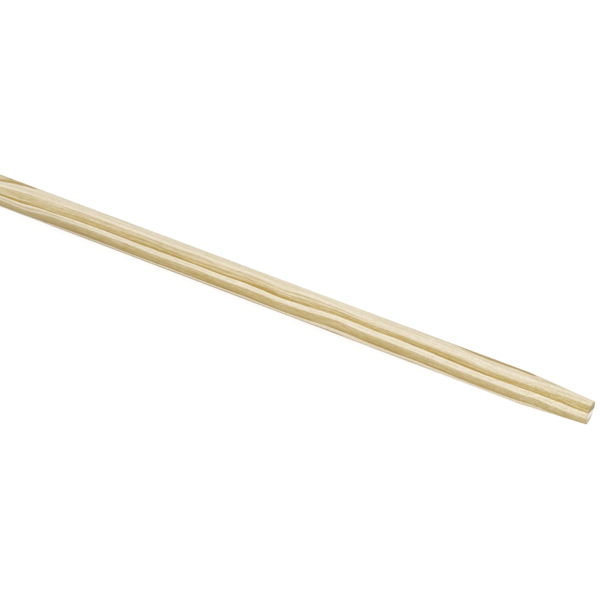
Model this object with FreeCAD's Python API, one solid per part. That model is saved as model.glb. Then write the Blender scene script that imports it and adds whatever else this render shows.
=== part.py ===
"""A one-piece wooden extension pole for a paint roller, with a plain tapered tip.

The pole is one turned length of softwood: a long round shaft, a tip that is cut to a
taper so that it jams in the socket of a roller frame, and a rounded butt that sits in
the palm. It has no ferrule, thread, pin or joint, so it is one solid in one node.

Frame, in millimetres: the pole lies along X. The origin is the centre of the flat face
of the tip, +X points out of that face, and +Z is up, so the lowest line of the shaft is
half a shaft diameter below the origin.
"""

import math
import os

import FreeCAD, Part

# Driving dimensions, in millimetres.
POLE_LENGTH = 1219.2  # 48 inches over everything
SHAFT_DIAMETER = 23.8  # 15/16 inch stock
TIP_DIAMETER = 17.4  # across the small end of the taper
TAPER_LENGTH = 50.0  # from the full shaft to the tip's face
KNEE_RADIUS = 90.0  # the cutter leaves a soft corner where the taper starts
TIP_EDGE_BREAK = 0.5  # sanded corner round the tip's face
BUTT_SHOULDER_RADIUS = 7.5  # rounding of the butt's outer corner
BUTT_CROWN_RADIUS = 19.0  # slow dome over the middle of the butt


def point(along, radius):
    """A point of the outline: a place along the pole's axis and a radius from it."""
    return FreeCAD.Vector(along, 0, radius)


def arc(start, middle, end):
    return Part.Arc(start, middle, end).toShape()


def line(start, end):
    return Part.LineSegment(start, end).toShape()


def on_circle(centre, radius, angle):
    """The point of a circle in the outline's plane, its angle counted from +X towards +Z."""
    return centre + FreeCAD.Vector(radius * math.cos(angle), 0, radius * math.sin(angle))


def tip_edges(shaft_radius):
    """The tip's face, its broken edge, the taper and the soft knee, up to the full shaft.

    Returns the edges and the point on the shaft where they end.
    """
    tip_radius = TIP_DIAMETER / 2
    slope = math.atan2(shaft_radius - tip_radius, TAPER_LENGTH)
    knee_reach = KNEE_RADIUS * math.tan(slope / 2)

    face_rim = point(0, tip_radius - TIP_EDGE_BREAK)
    taper_start = point(-TIP_EDGE_BREAK, tip_radius + TIP_EDGE_BREAK * math.tan(slope))
    sharp_knee = point(-TAPER_LENGTH, shaft_radius)
    taper_end = sharp_knee + FreeCAD.Vector(math.cos(slope), 0, -math.sin(slope)) * knee_reach
    shaft_start = sharp_knee - FreeCAD.Vector(knee_reach, 0, 0)
    knee_centre = shaft_start - FreeCAD.Vector(0, 0, KNEE_RADIUS)
    knee_middle = on_circle(knee_centre, KNEE_RADIUS, math.pi / 2 - slope / 2)

    edges = [
        line(point(0, 0), face_rim),
        line(face_rim, taper_start),
        line(taper_start, taper_end),
        arc(taper_end, knee_middle, shaft_start),
    ]
    return edges, shaft_start


def butt_edges(shaft_radius):
    """The rounded butt: a shoulder arc tangent to the shaft, then a crown arc tangent to it.

    Returns the point on the shaft where they start and the edges.
    """
    arms = BUTT_CROWN_RADIUS - BUTT_SHOULDER_RADIUS
    shoulder_height = shaft_radius - BUTT_SHOULDER_RADIUS
    lean = math.asin(shoulder_height / arms)  # of the line through both arcs' centres

    crown_centre = point(-POLE_LENGTH + BUTT_CROWN_RADIUS, 0)
    shoulder_centre = on_circle(crown_centre, arms, math.pi - lean)
    shaft_end = on_circle(shoulder_centre, BUTT_SHOULDER_RADIUS, math.pi / 2)
    shoulder_middle = on_circle(
        shoulder_centre, BUTT_SHOULDER_RADIUS, (math.pi / 2 + math.pi - lean) / 2
    )
    blend = on_circle(crown_centre, BUTT_CROWN_RADIUS, math.pi - lean)
    crown_middle = on_circle(crown_centre, BUTT_CROWN_RADIUS, math.pi - lean / 2)
    butt_end = point(-POLE_LENGTH, 0)

    edges = [
        arc(shaft_end, shoulder_middle, blend),
        arc(blend, crown_middle, butt_end),
        line(butt_end, point(0, 0)),
    ]
    return shaft_end, edges


def pole():
    """The whole pole, as its half outline turned about the axis."""
    shaft_radius = SHAFT_DIAMETER / 2
    tip, shaft_start = tip_edges(shaft_radius)
    shaft_end, butt = butt_edges(shaft_radius)
    outline = Part.Wire(tip + [line(shaft_start, shaft_end)] + butt)
    turned = Part.Face(outline).revolve(FreeCAD.Vector(0, 0, 0), FreeCAD.Vector(1, 0, 0), 360)
    if turned.Volume < 0:
        turned.reverse()
    return turned


def main():
    os.makedirs("parts", exist_ok=True)
    wood = pole()
    wood.exportStep(os.path.join("parts", "pole.step"))
    box = wood.BoundBox
    print(f"pole: valid {wood.isValid()}, {len(wood.Solids)} solid, {wood.Volume / 1000:.1f} cm3")
    print(f"  X {box.XMin:.2f} to {box.XMax:.2f}, Z {box.ZMin:.2f} to {box.ZMax:.2f}")


main()
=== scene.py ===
"""Dresses the roller extension pole, one turned length of pale fast-grown pine.

The shaft has a thin coat of clear lacquer, the taper at the tip is bare sanded wood, and
the tip's face is left as the saw cut it. The growth rings are a solid pattern that fills
the wood, so every surface shows them as it cuts them.

Metres, in the solid's frame: the pole lies along X with the centre of the tip's face at
the origin and the butt towards -X, and +Z is up.
"""
import math

import bmesh
import bpy
from mathutils import Matrix, Vector


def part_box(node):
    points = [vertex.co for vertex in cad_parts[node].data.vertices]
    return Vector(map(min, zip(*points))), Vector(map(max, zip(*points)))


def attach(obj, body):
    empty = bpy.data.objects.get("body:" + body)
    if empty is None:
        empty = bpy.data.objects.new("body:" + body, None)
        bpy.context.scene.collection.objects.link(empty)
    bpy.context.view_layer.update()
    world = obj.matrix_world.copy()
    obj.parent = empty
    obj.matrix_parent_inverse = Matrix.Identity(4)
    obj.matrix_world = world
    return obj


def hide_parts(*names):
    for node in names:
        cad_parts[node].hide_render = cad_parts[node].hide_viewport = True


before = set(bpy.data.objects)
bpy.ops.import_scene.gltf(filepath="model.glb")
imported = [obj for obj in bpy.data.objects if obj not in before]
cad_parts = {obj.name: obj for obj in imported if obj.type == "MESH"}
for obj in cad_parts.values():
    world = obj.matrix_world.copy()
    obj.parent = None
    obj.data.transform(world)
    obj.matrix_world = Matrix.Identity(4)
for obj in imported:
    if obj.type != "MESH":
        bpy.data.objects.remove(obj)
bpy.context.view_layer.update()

MM = 0.001

# The pole's sizes. The shaft's radius and the butt's end come from the solid's box.
LOWEST, HIGHEST = (Vector(corner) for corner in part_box("pole"))
SHAFT_RADIUS = (HIGHEST.z - LOWEST.z) / 2
TIP_RADIUS = 8.7 * MM
TAPER_LENGTH = 50 * MM
KNEE_RADIUS = 90 * MM
TIP_EDGE_ROUNDING = 0.5 * MM
BUTT_SHOULDER_RADIUS = 7.5 * MM
BUTT_CROWN_RADIUS = 19 * MM

# Where the lacquer ends: the cutter took it off the taper a little askew.
BARE_LENGTH = 47 * MM  # from the tip's face to the lacquer, along the pole's axis
BARE_SKEW = 0.25  # how far its edge leans along the pole, per length across it
BARE_SIDE = math.radians(49.5)  # the side with less bare wood, from the top towards +Y

# How finely the pole is turned.
STEPS_ROUND = 96
SHAFT_RING_SPACING = 12 * MM
TAPER_RING_SPACING = 1 * MM
EDGE_STEPS = 4
KNEE_STEPS = 6
SHOULDER_STEPS = 10
CROWN_STEPS = 8
MERGE_DISTANCE = 0.001 * MM

# The grain. Depth is counted along the growth direction, from the pole's axis.
GROWTH_TURN = math.radians(209.4)  # about X, brings the growth direction to +Z
PITH_DISTANCE = 70 * MM
RING_WIDTH = 9.91 * MM
RING_WIDENING = 0.0255  # each ring is about twice this share wider than the one inside it
RING_START = -2.3 * MM

# Where the grain swerves, as it does beside a knot, in millimetres: the place along the
# pole and the depth, the reach along and through the rings, and how far the rings are
# pushed away from the pith.
GRAIN_SWERVES = [
    (0, 0, 20, 30, 1.0),
    (-15, -1.8, 14, 1.2, -0.3),
    (-18, -5.8, 20, 1.8, -0.8),
    (-22, 3, 20, 2, 0.5),
    (-36, 1.4, 5, 1, -0.4),
    (-40, 8, 8, 3, -0.9),
    (-46, -12, 6, 2.5, 0.35),
    (-47, 1.7, 6, 1, 0.5),
    (-66, -8.3, 14, 1, 0.5),
    (-68, 1.6, 16, 1, 0.2),
    (-68, -2.2, 11, 1.2, 0.3),
    (-70, 7.6, 22, 1.2, 0.4),
    (-78, -13, 22, 3.5, 0.34),
    (-79, 0, 12, 8, 0.35),
    (-80, 7.8, 9, 1.2, 0.2),
    (-98, -7.2, 11, 0.8, -0.4),
    (-103, 1.8, 8, 1, 0.5),
    (-112, -8, 16, 1.4, -0.6),
    (-124, -2.4, 10, 1.2, -0.35),
    (-130, 7.6, 12, 1.2, -0.35),
    (-140, -3, 12, 4, -0.35),
    (-152, 7, 9, 1.2, 0.25),
    (-154, -7.3, 14, 1.5, 0.45),
    (-156, -7.6, 10, 0.8, 0.3),
    (-160, 2.5, 28, 9, -1.3),
    (-180, 10, 30, 2, 1.8),
    (-182, -8.6, 13, 1, 0.6),
    (-199, 2.5, 14, 9, -1.5),
    (-205, -7.3, 16, 0.8, -0.4),
    (-215, 8, 38, 1.6, -0.45),
    (-226, -9.6, 11, 1.2, -0.7),
    (-241, -12.5, 14, 1.5, -0.4),
    (-244, 0, 10, 10, 0.5),
    (-248, 1.5, 16, 1, -0.3),
    (-272, 0, 8, 10, -0.3),
    (-305, 1.2, 26, 1, -0.25),
    (-320, -9.2, 8, 1, -0.6),
    (-321, -0.6, 13, 2.5, -0.4),
    (-362, -2.3, 22, 1.2, 0.25),
    (-376, 7.6, 12, 1.2, 0.3),
    (-394, -8.9, 16, 1, -0.5),
    (-430, -7.2, 8, 0.8, -0.5),
    (-435, -2.3, 24, 1.8, 0.35),
    (-470, 2.5, 12, 2, 1.2),
    (-470, -13, 22, 4, -0.5),
    (-472, 8, 9, 3, 1.2),
    (-475, -2.4, 12, 1.2, 0.8),
    (-515, 3, 42, 9, 3.5),
    (-520, -12, 18, 4, 4.4),
    (-655, 3, 38, 12, -1.9),
    (-770, -4, 20, 12, 1.0),
    (-880, 4, 60, 20, 2.2),
    (-1030, 0, 30, 12, -2.0),
    (-1150, -5, 40, 20, 1.4),
]

# Streaks in the wood: their reach along the pole, round the rings and through them, and
# the noise's detail and roughness.
WANDER = ((45 * MM, 14 * MM, 14 * MM), 1.0, 0.5)
FEATHERS = ((14 * MM, 1.2 * MM, 1.2 * MM), 2.0, 0.5)
LAYERS = ((70 * MM, 9 * MM, 1.1 * MM), 2.0, 0.6)
FIBRES = ((4 * MM, 0.5 * MM, 0.5 * MM), 3.0, 0.75)
GRIT = ((0.9 * MM, 0.6 * MM, 0.6 * MM), 1.0, 0.5)
CLOUDS = ((22 * MM, 4 * MM, 1.6 * MM), 1.0, 0.5)
DRIFT = ((60 * MM, 12 * MM, 6 * MM), 1.0, 0.5)
DASH_WIDTH = 0.8 * MM
DASH_NOISE = (1.0, 0.5)
CANAL_LENGTH = 9 * MM
CANAL_WIDTH = 1.1 * MM

WANDER_PUSH = 0.7 * MM  # how far the rings wander, from one extreme to the other
FEATHER_PUSH = 0.5 * MM  # and how deep their feathered edges are

# How tan the wood is through one ring, as (age, tone) from the start of its spring wood.
# Tone 0 is the palest wood and 1 the dark line that ends the year. The inner rings are
# those with numbers below 0.
INNER_RING_TONES = [
    (0.0, 0.12), (0.06, 0.14), (0.14, 0.25), (0.21, 0.05), (0.44, 0.03), (0.52, 0.14),
    (0.61, 0.60), (0.68, 0.67), (0.75, 0.57), (0.82, 0.64), (0.88, 0.80), (0.92, 1.0),
    (0.985, 1.0), (1.0, 0.12),
]
OUTER_RING_TONES = [
    (0.0, 0.06), (0.08, 0.07), (0.15, 0.23), (0.19, 0.22), (0.24, 0.06), (0.29, 0.09),
    (0.32, 0.17), (0.37, 0.54), (0.42, 0.60), (0.52, 0.62), (0.60, 0.65), (0.80, 0.75),
    (0.88, 0.86), (0.93, 0.95), (0.985, 0.95), (1.0, 0.06),
]
TAN_TONE = 0.65

# Slow noise bends the ages inside a ring, and towards the tip the outer rings turn tan
# later in the year.
AGE_BEND = 0.6
TIPWARD = (-260 * MM, -140 * MM)
TIPWARD_BEND = 0.18

# Inner rings: half tan early in the year, less so towards the tip, and one stretch where
# the wood before that is clear.
HALF_TAN_AGES = (0.29, 0.37, 0.62, 0.67)
HALF_TAN = 0.46
HALF_TAN_TIPWARD = 0.20
CLEAR_STRETCH = (-315 * MM, -280 * MM, -195 * MM, -165 * MM)
CLEAR_AGES = (0.25, 0.18)
CLEARING = 0.65

# Outer rings: an early tan streak near the largest knot, and a newest ring that is tan
# almost from its start, but hardly so at the tip.
STREAK_AGES = (0.07, 0.15, 0.20, 0.30)
NEWEST_AGES = (0.10, 0.17)

# Slow changes along the pole: from one place to another, and the value at each.
INNER_BUTTWARD_TONE = (-360 * MM, -260 * MM, 0.92, 1.0)
INNER_TIPWARD_TONE = (-110 * MM, -60 * MM, 1.0, 1.12)
OUTER_TIPWARD_TONE = (-270 * MM, -200 * MM, 1.0, 0.92)
KNOTWARD_STREAK = (-340 * MM, -460 * MM, 0.0, 0.42)
NEWEST_TONE = (-150 * MM, -105 * MM, 0.85, 0.1)
# Painted light: the wood is darker towards the butt and a little darker towards the tip.
BUTTWARD_PAINTED_DIMMING = (-290 * MM, -360 * MM, 1.0, 0.965)
TIPWARD_PAINTED_DIMMING = (-200 * MM, -130 * MM, 1.0, 0.98)
BUTTWARD_DULLING = (-200 * MM, -270 * MM, 0.0, 0.07)

# And changes with how tan the wood is: from one tone to another, and the value at each.
UNEVENNESS = (0.0, 0.6, 0.4, 1.0)
FUZZ_GAIN = (0.0, 0.6, 0.75, 1.25)
# Painted shade: the tan of the outer rings, on the pole's lower side, is darkened.
TAN_PAINTED_SHADE = (0.3, 0.6, 0.0, 0.05)
LINE_DULLING = (0.7, 1.0, 0.0, 1.0)
LACQUER_ROUGHNESS = (0.0, 1.0, 0.52, 0.44)

INNER_LAYERING = 1.6  # how much the fine layers show in the inner rings
OUTER_LAYERING = 0.55  # and in the outer ones
CLOUD_DEPTH = 0.10
SPECK_TINT = (0.8, 0.9, 1.8)  # how far a speck darkens red, green and blue: it turns browner
FLECK_RIM = (0.16, 0.10)  # where a fleck fades, from its outside in
LATE_WOOD_RISE = 0.6  # how far late wood stands proud, as a share of the bump
FIBRE_RISE = 0.8  # and the fibres

# Pin knots on the shaft: place along, angle from the top towards -Y, length and width.
PIN_KNOTS = [
    (-283 * MM, math.radians(11), 0.9 * MM, 0.7 * MM),
    (-451 * MM, math.radians(102), 5.0 * MM, 1.6 * MM),
    (-702 * MM, math.radians(-75), 2.6 * MM, 1.8 * MM),
    (-1012 * MM, math.radians(150), 3.6 * MM, 2.2 * MM),
]
PIN_KNOT_RIM = (1.1, 0.7, 0.0, 0.9)  # from the outside in, and how dark it gets

# Wood browned beside a knot: place along, angle, reach along and around, and strength.
KNOT_SHADES = [
    (-440 * MM, math.radians(108), 85 * MM, 14 * MM, 0.45),
    (-702 * MM, math.radians(-75), 30 * MM, 5 * MM, 0.7),
    (-1012 * MM, math.radians(150), 45 * MM, 7 * MM, 0.8),
]
KNOT_SHADE_RIM = (1.0, 0.2)

# Where the darkening starts and where it is full: on the tip's rim, where it is painted shade,
# as places along the pole, and on the tip's face, darker towards the pith, as places along the
# growth direction.
RIM_PAINTED_SHADE = (-0.35 * MM, -0.05 * MM)
FACE_DARKENING = (-1.5 * MM, -2.5 * MM)

# The studio.
FLOOR_SIZE = 12.0
FLOOR_PAINT = 0.85
FLOOR_GLOW = 0.8  # how much of the floor's white the camera sees whatever the light
FLOOR_WHITE = 1.12
WORLD_LIGHT = 0.80
LAMP_PLACE = Vector((1.2, -1.5, 2.0))
LAMP_AIM = Vector((-0.4, 0.0, 0.0))
LAMP_SIZE = 2.0
LAMP_POWER = 19

# The camera.
CAMERA_AIM = Vector((-0.2336, 0.0031, 0.0))
CAMERA_DISTANCE = 1.382
CAMERA_AZIMUTH = math.radians(27.62)
CAMERA_ELEVATION = math.radians(46.01)
CAMERA_LENS = 110.7


# ---------------------------------------------------------------- the turned wood

def arc(centre, radius, start, end, steps):
    """Points of the outline on an arc, angles counted from +X towards the rim."""
    angles = [start + (end - start) * step / steps for step in range(steps + 1)]
    return [centre + radius * Vector((math.cos(a), 0, math.sin(a))) for a in angles]


def evenly(start, end, spacing):
    """Points between two places of the outline, without the two themselves."""
    count = max(1, round((end - start).length / spacing))
    return [start.lerp(end, step / count) for step in range(1, count)]


def tip_outline():
    """From the middle of the tip's face, round its edge and up the taper to the shaft."""
    slope = math.atan2(SHAFT_RADIUS - TIP_RADIUS, TAPER_LENGTH)
    rounding_reach = TIP_EDGE_ROUNDING * math.tan((math.pi / 2 - slope) / 2)
    edge_centre = Vector((-TIP_EDGE_ROUNDING, 0, TIP_RADIUS - rounding_reach))
    edge = arc(edge_centre, TIP_EDGE_ROUNDING, 0, math.pi / 2 - slope, EDGE_STEPS)

    knee_reach = KNEE_RADIUS * math.tan(slope / 2)
    shaft_start = Vector((-TAPER_LENGTH - knee_reach, 0, SHAFT_RADIUS))
    knee_centre = shaft_start - Vector((0, 0, KNEE_RADIUS))
    knee = arc(knee_centre, KNEE_RADIUS, math.pi / 2 - slope, math.pi / 2, KNEE_STEPS)
    taper = evenly(edge[-1], knee[0], TAPER_RING_SPACING)
    return [Vector((0, 0, 0))] + edge + taper + knee


def butt_outline():
    """From the shaft over the butt's shoulder and its slow crown to the axis."""
    arms = BUTT_CROWN_RADIUS - BUTT_SHOULDER_RADIUS
    lean = math.asin((SHAFT_RADIUS - BUTT_SHOULDER_RADIUS) / arms)
    crown_centre = Vector((LOWEST.x + BUTT_CROWN_RADIUS, 0, 0))
    shoulder_centre = crown_centre + arms * Vector((-math.cos(lean), 0, math.sin(lean)))
    turned = math.pi - lean
    shoulder = arc(shoulder_centre, BUTT_SHOULDER_RADIUS, math.pi / 2, turned, SHOULDER_STEPS)
    crown = arc(crown_centre, BUTT_CROWN_RADIUS, turned, math.pi, CROWN_STEPS)
    return shoulder + crown[1:]


def turned_pole():
    """The pole's half outline spun about its axis, closed at both ends."""
    tip = tip_outline()
    butt = butt_outline()
    outline = tip + evenly(tip[-1], butt[0], SHAFT_RING_SPACING) + butt

    pole = bmesh.new()
    corners = [pole.verts.new(place) for place in outline]
    edges = [pole.edges.new(pair) for pair in zip(corners, corners[1:])]
    bmesh.ops.spin(
        pole, geom=corners + edges, cent=(0, 0, 0), axis=(1, 0, 0), dvec=(0, 0, 0),
        angle=math.tau, steps=STEPS_ROUND, use_merge=True,
    )
    bmesh.ops.remove_doubles(pole, verts=pole.verts, dist=MERGE_DISTANCE)
    bmesh.ops.recalc_face_normals(pole, faces=pole.faces)
    return pole


def give_finishes(pole, lacquered, sanded, sawn):
    """Sorts the faces by finish: the shaft and butt, the taper, and the tip's face."""
    start = Vector((-BARE_LENGTH, 0, 0))
    lean = BARE_SKEW * Vector((0, math.sin(BARE_SIDE), math.cos(BARE_SIDE)))
    across = Vector((1, 0, 0)) - lean
    bmesh.ops.bisect_plane(
        pole, geom=pole.verts[:] + pole.edges[:] + pole.faces[:], dist=MERGE_DISTANCE,
        plane_co=start, plane_no=across,
    )
    for face in pole.faces:
        face.smooth = True
        face.material_index = lacquered
        if (face.calc_center_median() - start).dot(across) > 0:
            face.material_index = sanded
        if face.normal.x > 0.999:  # square to the pole's axis
            face.material_index = sawn


def new_object(name, mesh_source, materials):
    mesh = bpy.data.meshes.new(name)
    mesh_source.to_mesh(mesh)
    mesh_source.free()
    for material in materials:
        mesh.materials.append(material)
    made = bpy.data.objects.new(name, mesh)
    bpy.context.scene.collection.objects.link(made)
    return made


# ---------------------------------------------------------------- node helpers

def linear(red, green, blue):
    """A colour from a paint chart's 0 to 255 values, as the nodes want it."""
    def one(value):
        share = value / 255
        return share / 12.92 if share <= 0.04045 else ((share + 0.055) / 1.055) ** 2.4
    return (one(red), one(green), one(blue), 1.0)


class Bench:
    """Adds nodes to one tree. Inputs are sockets or plain values."""

    def __init__(self, tree):
        self.tree = tree

    def feed(self, socket, value):
        if isinstance(value, bpy.types.NodeSocket):
            self.tree.links.new(value, socket)
        else:
            socket.default_value = value

    def node(self, kind, inputs=None, **settings):
        made = self.tree.nodes.new(kind)
        for name, value in settings.items():
            setattr(made, name, value)
        for name, value in (inputs or {}).items():
            self.feed(made.inputs[name], value)
        return made

    def node_in_order(self, kind, values, **settings):
        """A node whose inputs share a name, so they are filled in their order."""
        made = self.node(kind, **settings)
        for socket, value in zip(made.inputs, values):
            self.feed(socket, value)
        return made

    def math(self, operation, *values):
        return self.node_in_order("ShaderNodeMath", values, operation=operation).outputs[0]

    def plus(self, first, second):
        return self.math("ADD", first, second)

    def minus(self, first, second):
        return self.math("SUBTRACT", first, second)

    def times(self, first, second, *more):
        product = self.math("MULTIPLY", first, second)
        return self.times(product, *more) if more else product

    def over(self, first, second):
        return self.math("DIVIDE", first, second)

    def most(self, first, second):
        return self.math("MAXIMUM", first, second)

    def times_plus(self, first, second, added):
        return self.math("MULTIPLY_ADD", first, second, added)

    def between(self, share, first, second):
        """The first number at share 0, the second at share 1."""
        return self.times_plus(share, second - first, first)

    def ramp(self, value, start, end, low=0.0, high=1.0):
        """A soft step: low until start, high from end."""
        made = self.node(
            "ShaderNodeMapRange",
            {"Value": value, "From Min": start, "From Max": end, "To Min": low, "To Max": high},
            interpolation_type="SMOOTHSTEP",
        )
        return made.outputs["Result"]

    def band(self, value, start, full_start, full_end, end):
        """A soft hump: 0 until start, 1 from full_start to full_end, and 0 again from end."""
        return self.times(self.ramp(value, start, full_start), self.ramp(value, end, full_end))

    def tones(self, value, stops):
        """A ramp of greys through (place, tone) stops."""
        made = self.node("ShaderNodeValToRGB", {"Fac": value})
        ramp = made.color_ramp
        while len(ramp.elements) < len(stops):
            ramp.elements.new(1.0)
        for element, (place, tone) in zip(ramp.elements, stops):
            element.position = place
            element.color = (tone, tone, tone, 1.0)
        return made.outputs["Color"]

    def colour(self, share, first, second, blend="MIX"):
        made = self.node("ShaderNodeMix", data_type="RGBA", blend_type=blend)
        self.feed(made.inputs[0], share)
        self.feed(made.inputs[6], first)
        self.feed(made.inputs[7], second)
        return made.outputs[2]

    def place(self, x, y, z):
        made = self.node("ShaderNodeCombineXYZ", {"X": x, "Y": y, "Z": z})
        return made.outputs["Vector"]

    def split(self, vector):
        made = self.node("ShaderNodeSeparateXYZ", {"Vector": vector})
        return made.outputs["X"], made.outputs["Y"], made.outputs["Z"]

    def stretched(self, spot, reach):
        """A spot's three coordinates, each counted in its own reach."""
        return self.place(*(self.over(value, size) for value, size in zip(spot, reach)))

    def streaks(self, spot, reach, detail, roughness):
        """Noise about 0, from -0.5 to 0.5, with a reach of its own in each direction."""
        made = self.node("ShaderNodeTexNoise", {
            "Vector": self.stretched(spot, reach),
            "Scale": 1.0,
            "Detail": detail,
            "Roughness": roughness,
        })
        return self.minus(made.outputs["Fac"], 0.5)

    def mixed_shader(self, share, first, second):
        made = self.node_in_order(
            "ShaderNodeMixShader", (share, first.outputs[0], second.outputs[0])
        )
        return made.outputs[0]


def new_group(name, inputs, outputs):
    """A shader node group, its bench, and its input sockets by name."""
    tree = bpy.data.node_groups.new(name, "ShaderNodeTree")
    for socket_name, kind, value in inputs:
        socket = tree.interface.new_socket(socket_name, in_out="INPUT", socket_type=kind)
        if value is not None:
            socket.default_value = value
    for socket_name, kind in outputs:
        tree.interface.new_socket(socket_name, in_out="OUTPUT", socket_type=kind)
    bench = Bench(tree)
    return tree, bench, bench.node("NodeGroupInput").outputs


def place_group(bench, tree, inputs):
    return bench.node("ShaderNodeGroup", inputs, node_tree=tree).outputs


FLOAT = "NodeSocketFloat"
COLOUR = "NodeSocketColor"
VECTOR = "NodeSocketVector"


# ---------------------------------------------------------------- effects that are shared

def bell(b, along, depth, knot_along, knot_depth, reach_along, reach_through):
    """1 at a knot and fading round it. The knot's four numbers are in millimetres."""
    off_along = b.times_plus(along, 1 / (reach_along * MM), -knot_along / reach_along)
    off_through = b.times_plus(depth, 1 / (reach_through * MM), -knot_depth / reach_through)
    away = b.times_plus(off_along, off_along, b.times(off_through, off_through))
    return b.math("EXPONENT", b.times(away, -0.5))


def ring_depth_group():
    """How deep in the tree's growth a point lies, with the grain's swerves, its slow
    wander and the feathered edges of its rings."""
    tree, b, given = new_group(
        "ring depth",
        [("Position", VECTOR, None), ("Pith Distance", FLOAT, PITH_DISTANCE)],
        [("Along", FLOAT), ("Around", FLOAT), ("Depth", FLOAT)],
    )
    spot = b.split(given["Position"])
    along, around, growth = spot
    from_pith = b.plus(growth, given["Pith Distance"])
    radius = b.math("SQRT", b.plus(b.times(around, around), b.times(from_pith, from_pith)))
    straight_depth = b.minus(radius, given["Pith Distance"])

    depth = straight_depth
    for *knot, push in GRAIN_SWERVES:
        depth = b.times_plus(bell(b, along, straight_depth, *knot), -push * MM, depth)
    depth = b.times_plus(b.streaks(spot, *WANDER), WANDER_PUSH, depth)
    depth = b.times_plus(b.streaks(spot, *FEATHERS), FEATHER_PUSH, depth)

    b.node("NodeGroupOutput", {"Along": along, "Around": around, "Depth": depth})
    return tree


def inner_ring_tone(b, along, age, tipward):
    """The tone of a ring close to the pith, half tan already early in the year."""
    clear = b.times(b.band(along, *CLEAR_STRETCH), b.ramp(age, *CLEAR_AGES))
    tone = b.times(b.tones(age, INNER_RING_TONES), b.between(clear, 1.0, 1.0 - CLEARING))
    most_half_tan = b.between(tipward, HALF_TAN, HALF_TAN_TIPWARD)
    tone = b.most(tone, b.times(b.band(age, *HALF_TAN_AGES), most_half_tan))
    return b.times(
        tone, b.ramp(along, *INNER_BUTTWARD_TONE), b.ramp(along, *INNER_TIPWARD_TONE)
    )


def outer_ring_tone(b, along, age, ring):
    """The tone of an outer ring, with its early streak near the largest knot."""
    streak = b.times(b.band(age, *STREAK_AGES), b.ramp(along, *KNOTWARD_STREAK))
    tone = b.most(b.tones(age, OUTER_RING_TONES), streak)
    tone = b.times(tone, b.ramp(along, *OUTER_TIPWARD_TONE))
    newest = b.times(b.ramp(ring, 0.0, 1.0), b.ramp(along, *NEWEST_TONE))
    return b.most(tone, b.times(b.ramp(age, *NEWEST_AGES), newest))


def ring_tone_group():
    """How tan the wood is, from its place in the rings: the whole part of Turns is the
    ring and the rest the age in it. Drift is slow noise about 0 that bends the age."""
    tree, b, given = new_group(
        "ring tone",
        [("Turns", FLOAT, None), ("Along", FLOAT, None), ("Drift", FLOAT, 0.0)],
        [("Tone", FLOAT), ("Outer", FLOAT)],
    )
    along = given["Along"]
    ring = b.math("FLOOR", given["Turns"])
    age = b.minus(given["Turns"], ring)
    outer = b.ramp(ring, -1.0, 0.0)
    tipward = b.ramp(along, *TIPWARD)

    # The bend is strongest in the ring's middle and leaves its start and end in place.
    middle = b.times(age, b.minus(1.0, age))
    bend = b.minus(b.times(given["Drift"], AGE_BEND), b.times(tipward, outer, TIPWARD_BEND))
    age = b.times_plus(middle, bend, age)

    inner_tone = inner_ring_tone(b, along, age, tipward)
    outer_tone = outer_ring_tone(b, along, age, ring)
    tone = b.times_plus(outer, b.minus(outer_tone, inner_tone), inner_tone)
    b.node("NodeGroupOutput", {"Tone": tone, "Outer": outer})
    return tree


def painted_light_and_shade(b, along, late, outer):
    """How light the wood is painted: painted light along the pole, painted shade on the tan of
    the outer rings, which lie on the pole's lower side, and their late line darker towards the
    butt.
    """
    light = b.times(b.ramp(along, *BUTTWARD_PAINTED_DIMMING), b.ramp(along, *TIPWARD_PAINTED_DIMMING))
    line_dulling = b.times(b.ramp(along, *BUTTWARD_DULLING), b.ramp(late, *LINE_DULLING))
    dulling = b.plus(line_dulling, b.ramp(late, *TAN_PAINTED_SHADE))
    return b.minus(light, b.times(outer, dulling))


def resin_flecks(b, spot, share):
    """Resin canals, as short flecks in a share of the places that could have one."""
    reach = (CANAL_LENGTH, CANAL_WIDTH, CANAL_WIDTH)
    canals = b.node(
        "ShaderNodeTexVoronoi", {"Vector": b.stretched(spot, reach), "Scale": 1.0}
    )
    chosen = b.math("LESS_THAN", b.split(canals.outputs["Color"])[0], share)
    return b.times(b.ramp(canals.outputs["Distance"], *FLECK_RIM), chosen)


def uneven_tone(b, given, spot, ring):
    """The ring's tone, with the layers and dashes that make it uneven."""
    layering = b.between(ring["Outer"], INNER_LAYERING, OUTER_LAYERING)
    layered = b.times(b.streaks(spot, *LAYERS), given["Layer Contrast"], layering)
    dash_reach = (given["Dash Length"], DASH_WIDTH, DASH_WIDTH)
    dashed = b.times(b.streaks(spot, dash_reach, *DASH_NOISE), given["Dash Contrast"])
    strength = b.ramp(ring["Tone"], *UNEVENNESS)
    return b.times_plus(b.plus(layered, dashed), strength, ring["Tone"])


def speckle_and_painted_light(b, given, spot, ring, fibres):
    """What the wood's colour is multiplied by: its painted light and shade, with its fine
    speckle.
    """
    fuzz = b.times(given["Fuzz"], b.ramp(ring["Tone"], *FUZZ_GAIN))
    speck = b.times_plus(fibres, fuzz, b.times(b.streaks(spot, *CLOUDS), CLOUD_DEPTH))
    speck = b.times_plus(b.streaks(spot, *GRIT), given["Grit"], speck)
    light = painted_light_and_shade(b, spot[0], ring["Tone"], ring["Outer"])
    return b.place(*(b.times_plus(speck, tint, light) for tint in SPECK_TINT))


PINE_INPUTS = [
    ("Position", VECTOR, None),
    ("Ring Width", FLOAT, RING_WIDTH),
    ("Ring Start", FLOAT, RING_START),
    ("Pale", COLOUR, None),
    ("Tan", COLOUR, None),
    ("Late Line", COLOUR, None),
    ("Layer Contrast", FLOAT, 0.9),
    ("Dash Contrast", FLOAT, 0.5),
    ("Dash Length", FLOAT, 12 * MM),
    ("Fuzz", FLOAT, 0.6),
    ("Grit", FLOAT, 0.16),
    ("Fleck Share", FLOAT, 0.18),
    ("Fleck Strength", FLOAT, 0.35),
    ("Fleck", COLOUR, linear(128, 96, 52)),
]


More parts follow.
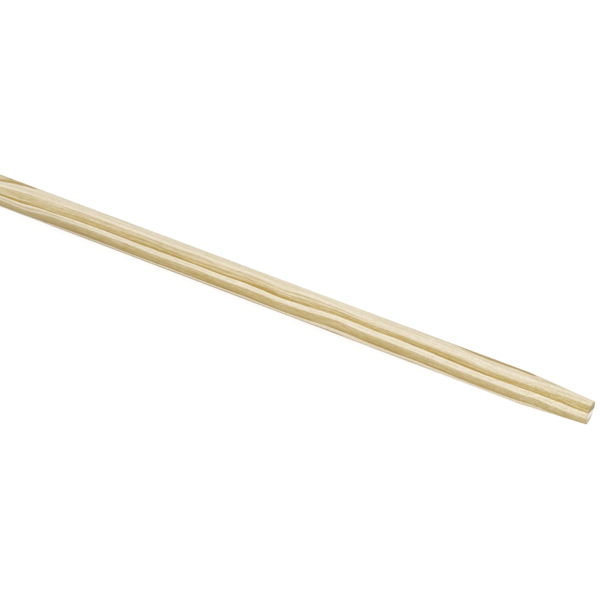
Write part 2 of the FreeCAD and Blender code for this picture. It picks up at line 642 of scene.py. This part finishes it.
def pine_group(ring_depth, ring_tone):
    """Pine's colour and relief at a point, from its ring's tone, the fine layers of the
    late wood, the fibres, a fine speckle, and resin canals as short dark flecks."""
    tree, b, given = new_group(
        "pine", PINE_INPUTS, [("Colour", COLOUR), ("Late Wood", FLOAT), ("Height", FLOAT)]
    )
    where = place_group(b, ring_depth, {"Position": given["Position"]})
    spot = (where["Along"], where["Around"], where["Depth"])

    # The rings widen towards the bark, so their count falls behind the plain widths.
    widths = b.over(b.minus(where["Depth"], given["Ring Start"]), given["Ring Width"])
    turns = b.times(widths, b.times_plus(widths, -RING_WIDENING, 1.0))
    drift = b.streaks(spot, *DRIFT)
    ring = place_group(
        b, ring_tone, {"Turns": turns, "Along": where["Along"], "Drift": drift}
    )

    tone = uneven_tone(b, given, spot, ring)
    wood = b.colour(b.over(tone, TAN_TONE), given["Pale"], given["Tan"])
    wood = b.colour(b.ramp(tone, TAN_TONE, 1.0), wood, given["Late Line"])
    fibres = b.streaks(spot, *FIBRES)
    wood = b.colour(1.0, wood, speckle_and_painted_light(b, given, spot, ring, fibres), "MULTIPLY")
    fleck = b.times(resin_flecks(b, spot, given["Fleck Share"]), given["Fleck Strength"])
    wood = b.colour(fleck, wood, given["Fleck"])

    height = b.times_plus(ring["Tone"], LATE_WOOD_RISE, b.times(fibres, FIBRE_RISE))
    b.node(
        "NodeGroupOutput", {"Colour": wood, "Late Wood": ring["Tone"], "Height": height}
    )
    return tree


# ---------------------------------------------------------------- the wood's finishes

def new_material(name):
    material = bpy.data.materials.new(name)
    material.use_nodes = True
    material.node_tree.nodes.clear()
    return material, Bench(material.node_tree)


def place_on_pole(b):
    return b.node("ShaderNodeTexCoord").outputs["Object"]


def place_in_grain(b):
    """The place on the pole, turned so that the growth direction is +Z."""
    turned = b.node(
        "ShaderNodeMapping", {"Vector": place_on_pole(b), "Rotation": (GROWTH_TURN, 0, 0)}
    )
    return turned.outputs["Vector"]


def finish(b, shader_inputs):
    shader = b.node("ShaderNodeBsdfPrincipled", shader_inputs)
    b.node("ShaderNodeOutputMaterial", {"Surface": shader.outputs["BSDF"]})


def bump(b, height, strength, distance):
    made = b.node(
        "ShaderNodeBump", {"Height": height, "Strength": strength, "Distance": distance}
    )
    return made.outputs["Normal"]


def away_from(b, along, angle, reach_along, reach_around):
    """How far off a place on the shaft a point is, 1 at the edge of its oval reach."""
    middle = (along, -SHAFT_RADIUS * math.sin(angle), SHAFT_RADIUS * math.cos(angle))
    reach = (reach_along, reach_around, reach_around)
    off = b.node_in_order(
        "ShaderNodeVectorMath", (place_on_pole(b), middle), operation="SUBTRACT"
    )
    share = b.node_in_order(
        "ShaderNodeVectorMath", (off.outputs["Vector"], reach), operation="DIVIDE"
    )
    length = b.node_in_order(
        "ShaderNodeVectorMath", (share.outputs["Vector"],), operation="LENGTH"
    )
    return length.outputs["Value"]


def with_knots(b, wood_colour):
    """Adds the browned wood beside knots, and small dark oval knots along the grain."""
    browned = linear(222, 218, 214)
    knot_brown = linear(104, 82, 58)
    for *oval, strength in KNOT_SHADES:
        near = b.times(b.ramp(away_from(b, *oval), *KNOT_SHADE_RIM), strength)
        wood_colour = b.colour(near, wood_colour, browned, "MULTIPLY")
    for along, angle, length, width in PIN_KNOTS:
        off = away_from(b, along, angle, length / 2, width / 2)
        wood_colour = b.colour(b.ramp(off, *PIN_KNOT_RIM), wood_colour, knot_brown)
    return wood_colour


def lacquered_pine(pine):
    """Clear satin lacquer, which deepens the tan and lets the late wood stand proud."""
    material, b = new_material("lacquered_pine")
    wood = place_group(b, pine, {
        "Position": place_in_grain(b),
        "Pale": linear(254, 248, 237),
        "Tan": linear(213, 193, 140),
        "Late Line": linear(188, 158, 80),
        "Layer Contrast": 1.1,
        "Dash Contrast": 0.5,
        "Dash Length": 12 * MM,
        "Fuzz": 0.8,
        "Grit": 0.28,
    })
    finish(b, {
        "Base Color": with_knots(b, wood["Colour"]),
        "Roughness": b.ramp(wood["Late Wood"], *LACQUER_ROUGHNESS),
        "Specular IOR Level": 0.25,
        "Coat Weight": 1.0,
        "Coat IOR": 1.25,
        "Coat Roughness": 0.35,
        "Coat Tint": (0.93, 0.895, 0.805, 1.0),
        "Normal": bump(b, wood["Height"], 0.25, 0.05 * MM),
    })
    return material


def sanded_pine(pine):
    """Bare wood, cut across its layers by the taper and roughed by coarse paper."""
    material, b = new_material("sanded_pine")
    wood = place_group(b, pine, {
        "Position": place_in_grain(b),
        "Pale": linear(243, 233, 208),
        "Tan": linear(209, 190, 137),
        "Late Line": linear(194, 165, 94),
        "Layer Contrast": 0.9,
        "Dash Contrast": 0.9,
        "Dash Length": 9 * MM,
        "Fuzz": 1.15,
        "Grit": 0.55,
        "Fleck Share": 0.4,
        "Fleck Strength": 0.55,
        "Fleck": linear(205, 176, 110),
    })
    # Painted shade: a darker line along the tip's rounded rim.
    darkening = linear(212, 197, 168)
    painted_rim_shade = b.ramp(b.split(place_on_pole(b))[0], *RIM_PAINTED_SHADE)
    finish(b, {
        "Base Color": b.colour(painted_rim_shade, wood["Colour"], darkening, "MULTIPLY"),
        "Roughness": 0.85,
        "Specular IOR Level": 0.25,
        "Normal": bump(b, wood["Height"], 0.6, 0.12 * MM),
    })
    return material


def sawn_pine(pine):
    """Open end grain, greyer where the late wood's pores took the dirt."""
    material, b = new_material("sawn_pine")
    in_grain = place_in_grain(b)
    wood = place_group(b, pine, {
        "Position": in_grain,
        "Pale": linear(255, 251, 243),
        "Tan": linear(220, 208, 184),
        "Late Line": linear(184, 170, 145),
        "Layer Contrast": 0.8,
        "Dash Contrast": 0.4,
        "Dash Length": 5 * MM,
        "Fuzz": 0.5,
        "Grit": 0.2,
    })
    # The face is darker towards the pith, which is its upper side.
    darkening = linear(213, 204, 187)
    pithward = b.ramp(b.split(in_grain)[2], *FACE_DARKENING)
    finish(b, {
        "Base Color": b.colour(pithward, wood["Colour"], darkening, "MULTIPLY"),
        "Roughness": 0.92,
        "Specular IOR Level": 0.2,
        "Normal": bump(b, wood["Height"], 0.8, 0.15 * MM),
    })
    return material


def dress_pole():
    pine = pine_group(ring_depth_group(), ring_tone_group())
    pole = turned_pole()
    give_finishes(pole, lacquered=0, sanded=1, sawn=2)
    finishes = [lacquered_pine(pine), sanded_pine(pine), sawn_pine(pine)]
    wood = new_object("pole_wood", pole, finishes)
    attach(wood, "root")
    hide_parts("pole")


# ---------------------------------------------------------------- the studio

def background_rays(b):
    """1 for rays that see the white behind the object: the camera's own, and those that
    come off polished surfaces or through glass."""
    rays = b.node("ShaderNodeLightPath").outputs
    straight_or_glossy = b.most(rays["Is Camera Ray"], rays["Is Glossy Ray"])
    return b.most(straight_or_glossy, rays["Is Transmission Ray"])


def white_floor():
    """A plain white floor at the shaft's lowest line, which still shows the shadow."""
    material, b = new_material("white_floor")
    grey = (FLOOR_PAINT, FLOOR_PAINT, FLOOR_PAINT, 1.0)
    paint = b.node("ShaderNodeBsdfDiffuse", {"Color": grey})
    white = b.node("ShaderNodeEmission", {"Color": (1, 1, 1, 1), "Strength": FLOOR_WHITE})
    share = b.times(background_rays(b), FLOOR_GLOW)
    b.node("ShaderNodeOutputMaterial", {"Surface": b.mixed_shader(share, paint, white)})

    sheet = bmesh.new()
    middle = Matrix.Translation((LOWEST.x / 2, 0, LOWEST.z))
    bmesh.ops.create_grid(
        sheet, x_segments=1, y_segments=1, size=FLOOR_SIZE / 2, matrix=middle
    )
    new_object("floor", sheet, [material])


def overhead_lamp():
    """One large soft lamp above the pole, past its tip and on the camera's side."""
    lamp = bpy.data.lights.new("overhead", "AREA")
    lamp.shape = "SQUARE"
    lamp.size = LAMP_SIZE
    lamp.energy = LAMP_POWER
    hung = bpy.data.objects.new("overhead", lamp)
    hung.location = LAMP_PLACE
    hung.rotation_euler = (LAMP_AIM - LAMP_PLACE).to_track_quat("-Z", "Y").to_euler()
    bpy.context.scene.collection.objects.link(hung)


def studio_light():
    """Even light from all round, which shows as plain white behind the object."""
    world = bpy.data.worlds.new("studio")
    bpy.context.scene.world = world
    world.use_nodes = True
    world.node_tree.nodes.clear()
    b = Bench(world.node_tree)
    soft = b.node("ShaderNodeBackground", {"Color": (1, 1, 1, 1), "Strength": WORLD_LIGHT})
    white = b.node("ShaderNodeBackground", {"Color": (1, 1, 1, 1), "Strength": 1.0})
    mixed = b.mixed_shader(background_rays(b), soft, white)
    b.node("ShaderNodeOutputWorld", {"Surface": mixed})


def studio_camera():
    """Looks down at the tip's half of the pole, which runs out of view to the left."""
    flat = math.cos(CAMERA_ELEVATION)
    back = Vector((
        math.sin(CAMERA_AZIMUTH) * flat, -math.cos(CAMERA_AZIMUTH) * flat,
        math.sin(CAMERA_ELEVATION),
    ))
    lens = bpy.data.cameras.new("camera")
    lens.lens = CAMERA_LENS
    camera = bpy.data.objects.new("camera", lens)
    camera.location = CAMERA_AIM + back * CAMERA_DISTANCE
    camera.rotation_euler = (math.pi / 2 - CAMERA_ELEVATION, 0, CAMERA_AZIMUTH)
    bpy.context.scene.collection.objects.link(camera)
    bpy.context.scene.camera = camera


bpy.context.scene.view_settings.view_transform = "Standard"
dress_pole()
white_floor()
studio_light()
overhead_lamp()
studio_camera()
